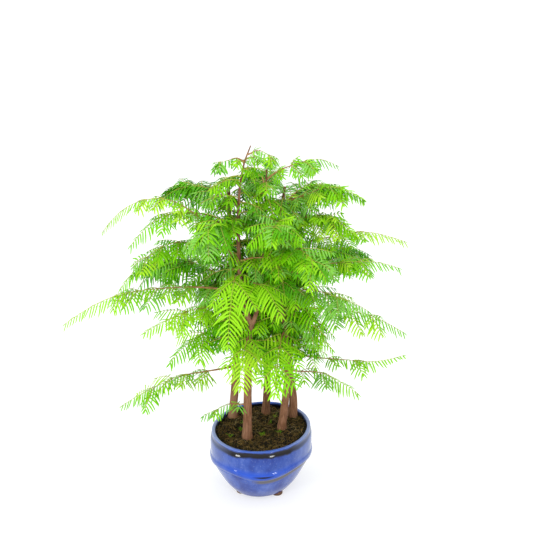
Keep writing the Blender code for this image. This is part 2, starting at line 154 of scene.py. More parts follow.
# Trunks: radii at the foot and top, and the points their axes bend through
TRUNK_SAMPLES = 22
TRUNK_BURIED = 0.003
TRUNK_STEP = 0.0016
TRUNK_SIDES = 40
TRUNK_RELIEF_SHARE = 0.085
FLARE_HEIGHT = 0.011
FLARE_SHARE = 0.25
Trunk = namedtuple("Trunk", "name foot_radius top_radius points")
TRUNKS = (
    Trunk("front_trunk", 0.0068, 0.0008, (
        (-0.021, -0.026, 0.094), (-0.018, -0.021, 0.245), (-0.014, -0.018, 0.276), (-0.022, -0.013, 0.300),
        (-0.031, -0.006, 0.368), (-0.031, 0.000, 0.462), (-0.024, 0.000, 0.513), (-0.014, 0.000, 0.543))),
    Trunk("left_trunk", 0.0062, 0.0026, (
        (-0.044, 0.038, 0.094), (-0.037, 0.031, 0.223), (-0.044, 0.023, 0.360), (-0.046, 0.020, 0.475))),
    Trunk("back_trunk", 0.0058, 0.0012, (
        (0.007, 0.052, 0.094), (0.010, 0.048, 0.200), (0.004, 0.034, 0.330), (0.008, 0.024, 0.500))),
    Trunk("inner_right_trunk", 0.0060, 0.0016, (
        (0.031, 0.004, 0.094), (0.037, 0.008, 0.150), (0.039, 0.009, 0.210), (0.029, 0.005, 0.320),
        (0.026, -0.002, 0.430))),
    Trunk("right_trunk", 0.0064, 0.0020, (
        (0.048, 0.041, 0.094), (0.049, 0.042, 0.128), (0.042, 0.042, 0.175), (0.042, 0.042, 0.230),
        (0.045, 0.042, 0.281), (0.030, 0.040, 0.410), (0.034, 0.040, 0.469))),
)
FORK_RADIUS = 0.0036
FORK_TIP_RADIUS = 0.0018
FORK_ROWS = 90
FORK_SIDES = 24
FORK_RELIEF = 0.00025
FORK_POINTS = (
    (-0.015, -0.018, 0.272), (-0.006, -0.016, 0.300), (0.001, -0.011, 0.345), (0.004, -0.006, 0.400))

# Colours of bark and young twigs, dark to light
TRUNK_BARK = ((0.040, 0.014, 0.006), (0.190, 0.078, 0.036), (0.36, 0.20, 0.12))
LIMB_BARK = ((0.12, 0.045, 0.012), (0.34, 0.16, 0.055), (0.50, 0.30, 0.13))
YOUNG_TWIG = ((0.34, 0.30, 0.045), (0.46, 0.50, 0.070))

# Bark relief: fibrous ridges round a stem that drift and sway as they rise, with knobbly bands
RIDGE_COUNTS = (5, 7, 11, 13, 17)
RIDGE_DRIFT = 40
RIDGE_SWAY = 1.5
RIDGE_SWAY_RATES = (30, 120)
RIDGE_DEPTHS = (0.5, 1.0)
KNOB_DEPTH = 0.8
KNOB_RATE = 220
KNOB_BAND_RATE = 90
KNOB_TURNS = 2
RELIEF_TOTAL = 3

# Boughs: trunk, height, bearing in degrees, reach, lift, drop, foliage width and depth, and the bare
# share of the limb where it shows
Bough = namedtuple("Bough", "name trunk height bearing reach lift drop width depth bare", defaults=(0.0,))
BOUGHS = tuple(Bough(*row) for row in (
    ("left_longest", "front_trunk", 0.325, 191, 0.256, 0.035, 0.062, 0.100, 0.012, 0.20),
    ("upper_left_long", "front_trunk", 0.370, 185, 0.192, 0.145, 0.092, 0.066, 0.012, 0.40),
    ("left_upper", "left_trunk", 0.420, 208, 0.153, 0.050, 0.056, 0.095, 0.014, 0.20),
    ("left_arching", "left_trunk", 0.375, 205, 0.169, 0.050, 0.078, 0.100, 0.014, 0.22),
    ("left_hanging", "front_trunk", 0.305, 210, 0.160, 0.020, 0.024, 0.105, 0.012, 0.22),
    ("left_middle", "left_trunk", 0.245, 225, 0.130, 0.030, 0.036, 0.100, 0.012, 0.30),
    ("low_left", "left_trunk", 0.185, 197, 0.178, -0.002, 0.039, 0.096, 0.010, 0.32),
    ("right_long", "right_trunk", 0.370, 353, 0.174, 0.045, 0.022, 0.090, 0.014, 0.25),
    ("right_upper", "right_trunk", 0.440, 345, 0.117, 0.045, 0.024, 0.092, 0.024, 0.25),
    ("right_shoulder", "right_trunk", 0.413, 333, 0.117, 0.035, 0.035, 0.088, 0.022, 0.32),
    ("right_front_upper", "inner_right_trunk", 0.345, 352, 0.170, 0.040, 0.017, 0.092, 0.014, 0.30),
    ("right_middle", "inner_right_trunk", 0.322, 332, 0.140, 0.018, 0.022, 0.105, 0.014, 0.22),
    ("right_drooping", "inner_right_trunk", 0.292, 345, 0.180, 0.018, 0.034, 0.100, 0.012, 0.22),
    ("low_right", "right_trunk", 0.205, 347, 0.174, -0.012, -0.025, 0.070, 0.010, 0.25),
    ("low_right_front", "inner_right_trunk", 0.190, 338, 0.112, 0.010, 0.028, 0.090, 0.011, 0.22),
    ("top_right", "back_trunk", 0.485, 358, 0.100, 0.040, 0.018, 0.070, 0.016, 0.15),
    ("front_left_hanging", "front_trunk", 0.350, 262, 0.114, 0.035, 0.092, 0.090, 0.012, 0.22),
    ("front_right_hanging", "front_trunk", 0.340, 301, 0.108, 0.030, 0.040, 0.082, 0.012, 0.22),
    ("back_middle_left", "left_trunk", 0.330, 155, 0.172, 0.030, 0.055, 0.125, 0.022, 0.20),
    ("front_low_left", "front_trunk", 0.262, 262, 0.087, 0.012, 0.054, 0.088, 0.014),
    ("front_low_right", "inner_right_trunk", 0.258, 262, 0.112, 0.010, 0.060, 0.088, 0.014),
    ("front_crossing", "front_trunk", 0.372, 338, 0.094, 0.022, 0.004, 0.046, 0.008),
    ("lowest_left", "front_trunk", 0.152, 196, 0.067, 0.004, 0.015, 0.036, 0.008),
    ("top_right_tuft", "front_trunk", 0.530, 333, 0.047, 0.014, 0.022, 0.034, 0.009),
    ("top_left_tuft", "front_trunk", 0.520, 200, 0.046, 0.012, 0.020, 0.036, 0.009),
    ("crown_front_left", "front_trunk", 0.435, 232, 0.100, 0.015, 0.030, 0.095, 0.024),
    ("crown_front_right", "inner_right_trunk", 0.395, 305, 0.110, 0.015, 0.030, 0.105, 0.026),
    ("crown_middle", "inner_right_trunk", 0.425, 262, 0.085, 0.030, 0.025, 0.105, 0.030),
    ("back_top", "back_trunk", 0.470, 100, 0.108, 0.015, 0.035, 0.110, 0.028),
    ("back_upper_right", "right_trunk", 0.440, 50, 0.127, 0.025, 0.040, 0.110, 0.030),
    ("back_upper_left", "left_trunk", 0.455, 140, 0.132, 0.020, 0.045, 0.110, 0.026),
    ("back_middle_right", "right_trunk", 0.335, 38, 0.162, 0.030, 0.050, 0.128, 0.026),
    ("back_low", "back_trunk", 0.250, 95, 0.132, 0.025, 0.045, 0.120, 0.022),
))

# A bough's limb: thicker with its reach, woody over its inner share, swaying a little in height
BOUGH_LEAST_RADIUS = 0.0011
BOUGH_RADIUS_SHARE = 0.0044
BOUGH_INNER_TAPER = 0.62
BOUGH_TAPER = 0.62
WOODY_SHARE = 0.5
LIMB_ROWS = 40
LIMB_SIDES = 12
LIMB_OUTER_SIDES = 8
LIMB_RELIEF = 0.00009
LIMB_SWAY = 0.0018
LIMB_SWAY_RATE = 9

# Twigs: opposite pairs along a limb, longest a quarter of the way out, and loose ones between them.
# Angles are in degrees, and two numbers for chance are the least and the most that it deals
TWIG_SPACING = 0.0235
TWIG_SPACING_RANGE = (0.8, 1.25)
TWIG_FIRST = 0.04
TWIG_LAST = 0.70
TWIG_ANGLE = 54.0
TWIG_ANGLE_LOSS = 14
TWIG_ANGLE_SPREAD = 6
TWIG_RISE = 0.08
TWIG_RISE_SPREAD = 0.12
TWIG_LEAN = 0.22
TWIG_SIZES = (0.78, 1.12)
TWIG_DROOP = 0.42
TWIG_DROOP_RANGE = (0.4, 1.5)
TWIG_SWAY = 0.05
TWIG_STEP = 0.006
TWIG_LEAST_ROWS = 4
TWIG_RADIUS = 0.00055
TWIG_TAPER = 0.45
TWIG_SIDES = 5
TWIG_BARE = 0.05
OUTLINE_START = 0.60
OUTLINE_GROWTH = 1.6
OUTLINE_LOSS = 0.62
OUTLINE_BEND = 1.6
LOOSE_TWIGS = 0.35
LOOSE_AHEAD = 0.7
LOOSE_ACROSS = (-0.8, 0.8)
LOOSE_RISE = (-0.8, 0.7)
LOOSE_LEAN = (-0.8, 1.0)
LOOSE_LENGTH_SHARE = 0.38
LOOSE_NEEDLE_SHARE = 0.9
TAIL_START = 0.35

# Sprays by place: pinnate and wider apart in front and low down, fuller in the crown
FRONT_NEEDLE_SHARE = 1.28
FRONT_TWIG_SHARE = 1.35
FRONT_TWIG_LAST = 0.46
PINNATE_BOUGHS = ("front_left_hanging", "front_right_hanging")
LOW_TWIG_SHARE = 1.35
LOW_LEVEL = 0.31
CROWN_LEVEL = 0.335
CROWN_LOOSE_TWIGS = 1.1
SIDE_WIDTH_SHARE = 0.90
LEAST_BARE = 0.13
BARE_SHARE = 0.6
FULL_WIDTH = 0.095
DEEP_MASS = 0.02
DEEP_LEANS = (-0.55, 0.55)
DEEP_WIDTH_SHARE = 0.75
DEEP_BARE = 0.05

# Needles: two ranks, longest along the middle of a twig, each leaning forward and drooping to its tip
NEEDLE_SPACING = 0.0048
NEEDLE_LENGTH = 0.0225
NEEDLE_SIZES = (0.86, 1.10)
NEEDLE_PAIR_SIZES = (0.85, 1.05)
LEAST_NEEDLE_SHARE = 0.76
NEEDLE_END_SHARE = 0.62
NEEDLE_CROWDING = 1.15
NEEDLE_TIP_LOSS = 0.30
NEEDLE_ANGLE = 71.0
NEEDLE_ANGLE_LOSS = 26
NEEDLE_ANGLE_SPREAD = 5
NEEDLE_ROOF = -0.26
NEEDLE_ROOF_SPREAD = 0.10
NEEDLE_DROOP = 0.36
NEEDLE_DROOP_RANGE = (0.4, 1.6)
LAST_NEEDLE_SIZE = 0.8
LAST_NEEDLE_DROOP = 0.1
NEEDLE_WIDTH = 0.0030
NEEDLE_WIDTH_SHARES = (0.82, 1.0)
NEEDLE_SWEEP = 0.14
NEEDLE_STOPS = (0.0, 0.22, 0.60, 0.88, 1.0)
NEEDLE_WIDTHS = (0.40, 0.92, 1.00, 0.72, 0.22)
NEEDLE_KEEL = 0.16
MOST_NEEDLES = 11000

# Short leafy shoots that spring from the trunks and fill the crown. On a crowned stretch each is turned
# on from the last, in radians, but two of every five are turned to the front instead
SHOOTS_PER_TRUNK = 45
SHOOT_LOWEST = 0.225
SHOOT_TOP_GAP = 0.015
SHOOT_LENGTHS = (0.045, 0.090)
SHOOT_LENGTH_LOSS = 0.45
SHOOT_LIFTS = (0.05, 0.6)
SHOOT_FALL = 0.55
SHOOT_ROWS = 16
SHOOT_SIDES = 6
SHOOT_RADII = (0.0010, 0.0004)
SHOOT_WIDTH = 0.066
SHOOT_WIDTH_LOSS = 0.4
SHOOT_BARE = 0.1
SHOOT_TURN = 2.4
SHOOT_TURN_SPREAD = 0.5
SHOOT_ROUND = 5
SHOOTS_IN_FRONT = 2
CROWNED_TRUNKS = ("back_trunk", "inner_right_trunk", "right_trunk")
FRONT_BEARINGS = (215, 325)
OTHER_BEARINGS = (-40, 220)

# Base colours of the needles by spray, linear
TINTS = {
    "lime": (0.275, 0.64, 0.008),
    "mid": (0.185, 0.54, 0.002),
    "deep": (0.090, 0.375, 0.001),
    "young": (0.355, 0.66, 0.020),
    "cool": (0.20, 0.51, 0.060),
}
FRONT_TINTS = ("lime", "lime", "lime", "mid", "young")
SIDE_TINTS = ("lime", "mid", "mid", "cool", "young")
BACK_TINTS = ("mid", "deep", "deep", "cool")
TOP_TINTS = ("mid", "cool", "lime", "deep")


class Look:
    """A material whose colour and relief are worked out from patterns and sums on them."""

    def __init__(self, name, roughness, specular=0.5):
        self.material = bpy.data.materials.new(name)
        self.material.use_nodes = True
        self.tree = self.material.node_tree
        self.shader = self.tree.nodes["Principled BSDF"]
        self.set("Roughness", roughness)
        self.set("Specular IOR Level", specular)

    def set(self, name, value):
        """Set one of the shader's inputs."""
        self.shader.inputs[name].default_value = value

    def link(self, value, name):
        """Feed one of the shader's inputs."""
        self.tree.links.new(value, self.shader.inputs[name])

    def object_place(self):
        """The place of a point in the object's own coordinates."""
        return self.tree.nodes.new("ShaderNodeTexCoord").outputs["Object"]

    def along(self, axis):
        """Where a point is along an axis in metres."""
        split = self.tree.nodes.new("ShaderNodeSeparateXYZ")
        self.tree.links.new(self.object_place(), split.inputs["Vector"])
        return split.outputs[axis]

    def noise(self, scale, stretch=(1, 1, 1), detail=4.0, rough=0.55):
        """A noise pattern's value over the object's own coordinates, stretched by axis."""
        mapping = self.tree.nodes.new("ShaderNodeMapping")
        mapping.inputs["Scale"].default_value = stretch
        pattern = self.tree.nodes.new("ShaderNodeTexNoise")
        pattern.inputs["Scale"].default_value = scale
        pattern.inputs["Detail"].default_value = detail
        pattern.inputs["Roughness"].default_value = rough
        self.tree.links.new(self.object_place(), mapping.inputs["Vector"])
        self.tree.links.new(mapping.outputs["Vector"], pattern.inputs["Vector"])
        return pattern.outputs["Fac"]

    def ramp(self, value, stops):
        """Colours along a value."""
        node = self.tree.nodes.new("ShaderNodeValToRGB")
        band = node.color_ramp
        while len(band.elements) < len(stops):
            band.elements.new(0.5)
        for element, (place, colour) in zip(band.elements, stops):
            element.position = place
            element.color = (*colour, 1.0)
        self.tree.links.new(value, node.inputs["Fac"])
        return node.outputs["Color"]

    def grey_ramp(self, value, start, end, least, most):
        """A share that goes from the least to the most between two levels of a value."""
        return self.ramp(value, ((start, (least,) * 3), (end, (most,) * 3)))

    def blend(self, share, first, second):
        """A mix of two colours by a value. Either colour may be a plain one."""
        node = self.tree.nodes.new("ShaderNodeMix")
        node.data_type = "RGBA"
        self.tree.links.new(share, node.inputs["Factor"])
        for socket, colour in ((node.inputs[6], first), (node.inputs[7], second)):
            if isinstance(colour, tuple):
                socket.default_value = (*colour, 1.0)
            else:
                self.tree.links.new(colour, socket)
        return node.outputs[2]

    def bump(self, value, strength, distance):
        """Relief from a value."""
        node = self.tree.nodes.new("ShaderNodeBump")
        node.inputs["Strength"].default_value = strength
        node.inputs["Distance"].default_value = distance
        self.tree.links.new(value, node.inputs["Height"])
        self.link(node.outputs["Normal"], "Normal")

    def maths(self, kind, first, second=0.0, clamp=False):
        """One sum on values or numbers."""
        node = self.tree.nodes.new("ShaderNodeMath")
        node.operation = kind
        node.use_clamp = clamp
        for socket, value in zip(node.inputs, (first, second)):
            if isinstance(value, (int, float)):
                socket.default_value = value
            else:
                self.tree.links.new(value, socket)
        return node.outputs["Value"]

    def plus(self, first, second, clamp=False):
        """Two values added."""
        return self.maths("ADD", first, second, clamp)

    def minus(self, first, second, clamp=False):
        """One value less another."""
        return self.maths("SUBTRACT", first, second, clamp)

    def times(self, first, second, clamp=False):
        """Two values multiplied, kept between nothing and one if asked."""
        return self.maths("MULTIPLY", first, second, clamp)

    def stronger(self, share, gain):
        """A share made stronger, up to one."""
        return self.times(share, gain, clamp=True)

    def fade_in(self, value, start, span):
        """Nothing up to a start, growing to one over a span."""
        return self.maths("DIVIDE", self.minus(value, start), span, clamp=True)

    def in_band(self, value, band):
        """One at a band's middle, falling to nothing at its edges."""
        away = self.maths("ABSOLUTE", self.minus(value, band.middle))
        return self.minus(1.0, self.maths("DIVIDE", away, band.half), clamp=True)

    def patches(self, scale, least):
        """One inside patches of a noise above a level, nothing outside."""
        pattern = self.noise(scale, stretch=(1, 1, 0.6), detail=5.0)
        return self.stronger(self.minus(pattern, least), PATCH_SHARPNESS)


def ridge_level(look):
    """The height of the pot's waved ridge at a point's bearing."""
    bearing = look.maths("ARCTAN2", look.along("Y"), look.along("X"))
    turn = look.plus(look.times(bearing, POT_RIDGE_CRESTS), POT_RIDGE_TURN)
    return look.plus(look.times(look.maths("SINE", turn), POT_RIDGE_WAVE), POT_RIDGE_HEIGHT)


def mottled_blue(look):
    """The glaze's body: mottled blue with fine paler specks."""
    mottles = look.ramp(look.noise(scale=55.0, stretch=(1, 1, 0.55), detail=6.0), GLAZE_MOTTLES)
    specks = look.grey_ramp(look.noise(scale=420.0, detail=3.0), start=0.60, end=0.72, least=0, most=0.5)
    return look.blend(specks, mottles, GLAZE_SPECK)


def dark_run(look, height):
    """The dark band under the lip, with a wavering edge and thinner stretches."""
    waver = look.times(look.minus(look.noise(scale=30.0, stretch=(1, 1, 0)), 0.5), DARK_WAVER)
    run = look.stronger(look.in_band(look.plus(height, waver), DARK_BAND), gain=2.0)
    stretches = look.times(look.noise(scale=16.0, stretch=(1, 1, 0.3)), DARK_STRETCH_GAIN)
    return look.times(run, look.plus(stretches, DARK_STRETCH_LEAST, clamp=True), clamp=True)


def rich_run(look, level, across):
    """The deep blue that gathers above the ridge."""
    run = look.times(look.in_band(level, RICH_BAND), look.in_band(across, RICH_ACROSS))
    return look.stronger(run, gain=1.3)


def painted_fold_shade(look, level, across):
    """Painted shade of a fold: a short dark streak above the ridge at the middle of the front."""
    streak = look.times(look.in_band(level, FOLD_SHADE_BAND), look.in_band(across, FOLD_SHADE_ACROSS))
    return look.stronger(streak, gain=1.9)


def worn_line(look, level, across):
    """The grey line worn through under the ridge, whole on the right and in patches on the left."""
    whole = look.fade_in(across, WORN_START, WORN_FADE)
    broken = look.plus(whole, look.patches(scale=300.0, least=0.60), clamp=True)
    return look.times(look.stronger(look.in_band(level, WORN_BAND), gain=1.8), broken)


def lace(look, height):
    """Patches of fine pale lace low on the pot."""
    areas = look.times(look.in_band(height, LACE_BAND), look.patches(scale=14.0, least=0.60))
    return look.times(areas, look.patches(scale=420.0, least=0.50), clamp=True)


def foot_shade(look, height):
    """The darker tone low on the pot, strongest at its foot."""
    return look.times(look.fade_in(height, GLAZE_FOOT_LEVEL, -GLAZE_FOOT_LEVEL), GLAZE_FOOT_SHARE)


def glaze_material():
    """Blue glaze: mottled, paler at the lip, with painted reflection paler at the sides, and with dark,
    deep blue and worn runs and a painted fold shade over it.
    """
    look = Look("blue_glaze", roughness=0.07, specular=0.25)
    height, across = look.along("Z"), look.along("X")
    # How far to the left or right a point lies, out to the rim; the painted reflection grows with it
    sides = look.maths("DIVIDE", look.maths("ABSOLUTE", across), POT_RIM_RADIUS, clamp=True)
    level = look.minus(height, ridge_level(look))
    layers = (
        (dark_run(look, height), GLAZE_DARK),
        # Painted reflection: the glaze turns paler towards the left and right sides
        (look.grey_ramp(sides, start=0.55, end=1.0, least=0, most=0.6), GLAZE_SIDE_REFLECTION),
        # The lip: its own blue at the front, with painted reflection paler towards the sides
        (look.fade_in(height, LIP_LEVEL, LIP_FADE), look.ramp(sides, GLAZE_LIP_AND_SIDE_REFLECTION)),
        (rich_run(look, level, across), GLAZE_RICH),
        # Painted shade: a dark streak where the glaze folds above the ridge
        (painted_fold_shade(look, level, across), GLAZE_FOLD_SHADE),
        (worn_line(look, level, across), GLAZE_WORN),
        (lace(look, height), GLAZE_LACE),
        (foot_shade(look, height), GLAZE_FOOT),
    )
    body = mottled_blue(look)
    for share, colour in layers:
        body = look.blend(share, body, colour)
    look.link(body, "Base Color")
    look.bump(look.noise(scale=130.0, detail=3.0), strength=0.18, distance=0.0008)
    return look.material


def clay_material():
    """Bare fired clay of the feet."""
    look = Look("brown_clay", roughness=0.85)
    grain = look.noise(scale=600.0)
    brown = look.ramp(grain, ((0.35, (0.060, 0.028, 0.014)), (0.65, (0.16, 0.080, 0.042))))
    look.link(brown, "Base Color")
    look.bump(grain, strength=0.5, distance=0.0006)
    return look.material


def bark_material(name, dark, middle, light):
    """Fibrous bark: long streaks up the stem with dark furrows and pale flakes."""
    look = Look(name, roughness=0.88, specular=0.25)
    fibre = look.noise(scale=520.0, stretch=(1, 1, 0.10), detail=6.0, rough=0.7)
    streaks = look.ramp(fibre, ((0.30, dark), (0.50, middle), (0.72, light)))
    patches = look.noise(scale=55.0, stretch=(1, 1, 0.6), detail=3.0)
    flakes = look.grey_ramp(patches, start=0.35, end=0.70, least=0, most=0.55)
    look.link(look.blend(flakes, streaks, light), "Base Color")
    look.bump(fibre, strength=0.9, distance=0.0009)
    return look.material


def soil_material():
    """Dark moist soil with olive and golden mossy patches."""
    look = Look("moist_soil", roughness=0.93, specular=0.2)
    crumbs = look.noise(scale=420.0, detail=8.0, rough=0.7)
    earth = look.ramp(crumbs, (
        (0.34, (0.003, 0.002, 0.001)), (0.54, (0.014, 0.009, 0.004)), (0.74, (0.090, 0.058, 0.020))))
    moss = look.grey_ramp(look.noise(scale=60.0, detail=5.0), start=0.52, end=0.68, least=0, most=0.3)
    moss_colour = look.ramp(crumbs, ((0.35, (0.020, 0.022, 0.004)), (0.70, (0.150, 0.130, 0.025))))
    look.link(look.blend(moss, earth, moss_colour), "Base Color")
    look.bump(crumbs, strength=1.0, distance=0.0016)
    return look.material


def needle_material(tint):
    """Satin needle in one plain colour, with a slight change of gloss."""
    look = Look("needle_" + tint, roughness=0.5, specular=0.14)
    look.set("Base Color", (*TINTS[tint], 1.0))
    gloss = look.grey_ramp(look.noise(scale=240.0), start=0.3, end=0.7, least=0.36, most=0.58)
    look.link(gloss, "Roughness")
    return look.material


def fine_material(name, dark, light, roughness):
    """A thin thing in two close colours, such as a twig, a rootlet or moss."""
    look = Look(name, roughness, specular=0.3)
    look.link(look.ramp(look.noise(scale=180.0), ((0.35, dark), (0.65, light))), "Base Color")
    return look.material


class Batch:
    """Points and four-sided faces gathered from many small shapes, then made one piece."""

    def __init__(self):
        self.points, self.faces, self.count = [], [], 0

    def add(self, points, faces):
        """Add one shape."""
        self.points.append(points)
        self.faces.append(faces + self.count)
        self.count += len(points)

    def piece(self, name, material, slot, nodes=()):
        """Make the piece, riding on the part's one body."""
        points = np.concatenate(self.points).astype(np.float32)
        faces = np.concatenate(self.faces).astype(np.int32)
        mesh = bpy.data.meshes.new(name)
        mesh.vertices.add(len(points))
        mesh.vertices.foreach_set("co", points.ravel())
        mesh.loops.add(faces.size)
        mesh.loops.foreach_set("vertex_index", faces.ravel())
        mesh.polygons.add(len(faces))
        mesh.polygons.foreach_set("loop_start", np.arange(0, faces.size, faces.shape[1], dtype=np.int32))
        mesh.polygons.foreach_set("use_smooth", np.full(len(faces), True))
        mesh.update(calc_edges=True)
        mesh.materials.append(material)
        thing = bpy.data.objects.new(name, mesh)
        bpy.context.scene.collection.objects.link(thing)
        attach(thing, "root")
        if nodes:
            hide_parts(*nodes)


def grid_faces(rows, columns, closed):
    """The faces between the rows of a grid of points, closed round its columns if asked."""
    across = columns if closed else columns - 1
    row, column = np.meshgrid(np.arange(rows - 1), np.arange(across), indexing="ij")
    after = (column + 1) % columns
    corners = (row * columns + column, row * columns + after, (row + 1) * columns + after,
               (row + 1) * columns + column)
    return np.stack(corners, axis=-1).reshape(-1, 4)


def smooth_line(points, count):
    """Points on a curve that bends gently through the given ones."""
    stops = np.asarray(points, float)
    stops = np.vstack([2 * stops[0] - stops[1], stops, 2 * stops[-1] - stops[-2]])
    spans = len(points) - 1
    where = np.linspace(0, spans, count)
    k = np.minimum(where.astype(int), spans - 1)
    t = (where - k)[:, None]
    a, b, c, d = stops[k], stops[k + 1], stops[k + 2], stops[k + 3]
    bend = 2 * b + (c - a) * t + (2 * a - 5 * b + 4 * c - d) * t ** 2 + (3 * b - a - 3 * c + d) * t ** 3
    return bend / 2


def unit(vectors):
    """Vectors made one long."""
    least = 1e-9
    return vectors / np.maximum(np.linalg.norm(vectors, axis=-1, keepdims=True), least)


def directions(line):
    """The direction of a line at each of its points."""
    return unit(np.gradient(line, axis=0))


def reach_along(line):
    """How far along a line each of its points is."""
    steps = np.linalg.norm(np.diff(line, axis=0), axis=1)
    return np.concatenate([[0], np.cumsum(steps)])


def read_off(places, marks, rows):
    """Rows of three values, such as points, read off at places between their marks."""
    return np.stack([np.interp(places, marks, rows[:, axis]) for axis in range(3)], axis=-1)


def tube(line, radii, sides, relief=0.0):
    """A tapering tube round a line, closed to a point at both ends, with relief added to its radius."""
    steep = 0.7
    line = np.asarray(line, float)
    along = directions(line)
    spare = np.where(np.abs(along[:1, 2:3]) > steep, [[0.0, 1.0, 0.0]], [[0.0, 0.0, 1.0]])
    first = unit(np.cross(along, np.broadcast_to(spare, along.shape)))
    second = np.cross(along, first)
    turn = np.linspace(0, math.tau, sides, endpoint=False)
    spread = np.asarray(radii, float)[:, None] * np.ones((1, sides)) + relief
    points = (line[:, None] + first[:, None] * (np.cos(turn) * spread)[..., None]
              + second[:, None] * (np.sin(turn) * spread)[..., None])
    caps = (np.repeat(line[:1], sides, 0), np.repeat(line[-1:], sides, 0))
    points = np.vstack([caps[0], points.reshape(-1, 3), caps[1]])
    return points, grid_faces(len(line) + 2, sides, closed=True)


def place_on_trunk(trunk, height):
    """The point of a trunk's axis at a height."""
    path = smooth_line(trunk.points, TRUNK_SAMPLES)
    return read_off(height, path[:, 2], path)


def bough_line(bough, shares):
    """Points of a bough's line at shares of its reach: it lifts early and hangs late."""
    trunk = next(trunk for trunk in TRUNKS if trunk.name == bough.trunk)
    bearing = math.radians(bough.bearing)
    rise = bough.lift * (1 - (1 - shares) ** 2) - bough.drop * shares ** 3
    level = bough.reach * shares
    offset = np.stack([level * math.cos(bearing), level * math.sin(bearing), rise], axis=-1)
    return place_on_trunk(trunk, bough.height) + offset


def bark_relief(heights, sides, depth, chance):
    """Long fibrous ridges round a stem that drift as they rise, with knobbly bands."""
    turn = np.linspace(0, math.tau, sides, endpoint=False)[None]
    rise = heights[:, None]
    relief = np.zeros((len(heights), sides))
    for count in RIDGE_COUNTS:
        drift = chance.uniform(-RIDGE_DRIFT, RIDGE_DRIFT) * rise
        drift = drift + RIDGE_SWAY * np.sin(chance.uniform(*RIDGE_SWAY_RATES) * rise)
        ridges = np.sin(count * turn + drift + chance.uniform(0, math.tau))
        relief += ridges * chance.uniform(*RIDGE_DEPTHS)
    knobs = KNOB_DEPTH * np.sin(KNOB_RATE * rise + KNOB_TURNS * turn)
    relief += knobs * np.sin(KNOB_BAND_RATE * rise + chance.uniform(0, math.tau))
    return depth * relief / RELIEF_TOTAL


def make_trunk(trunk, bark, chance):
    """One trunk, with its flare and fibrous bark."""
    foot, top = trunk.points[0][2], trunk.points[-1][2]
    line = smooth_line(trunk.points, int((top - foot) / TRUNK_STEP))
    line[0, 2] -= TRUNK_BURIED
    above = np.maximum(line[:, 2] - foot, 0)
    radii = trunk.foot_radius + (trunk.top_radius - trunk.foot_radius) * (above / (top - foot))
    radii += FLARE_SHARE * trunk.foot_radius * np.exp(-above / FLARE_HEIGHT)
    relief = bark_relief(line[:, 2], TRUNK_SIDES, 1.0, chance) * (radii * TRUNK_RELIEF_SHARE)[:, None]
    batch = Batch()
    batch.add(*tube(line, radii, TRUNK_SIDES, relief))
    batch.piece(trunk.name + "_bark", bark, "bark", [trunk.name])


def make_fork(bark, chance):
    """The second stem that rises from the front trunk."""
    line = smooth_line(FORK_POINTS, FORK_ROWS)
    radii = np.linspace(FORK_RADIUS, FORK_TIP_RADIUS, len(line))
    batch = Batch()
    batch.add(*tube(line, radii, FORK_SIDES, bark_relief(line[:, 2], FORK_SIDES, FORK_RELIEF, chance)))
    batch.piece("fork_bark", bark, "bark", ["front_trunk_fork"])


def make_trunks(chance):
    """All trunks and the fork, in reddish bark."""
    bark = bark_material("reddish_bark", *TRUNK_BARK)
    for trunk in TRUNKS:
        make_trunk(trunk, bark, chance)
    make_fork(bark, chance)


# A place on a limb that twigs spring from: its point, and the directions along, above and across the limb
Joint = namedtuple("Joint", "point ahead upward across")

# A rank of needles: where each starts, its direction, the directions above it and along its twig, its
# length, and how far it droops
Rank = namedtuple("Rank", "base heading upward ahead size droop")


def spray_outline(along):
    """How wide a spray is at a share of its length: it widens early and narrows to its tip."""
    return min(1.0, OUTLINE_START + OUTLINE_GROWTH * along) * (1 - OUTLINE_LOSS * along ** OUTLINE_BEND)


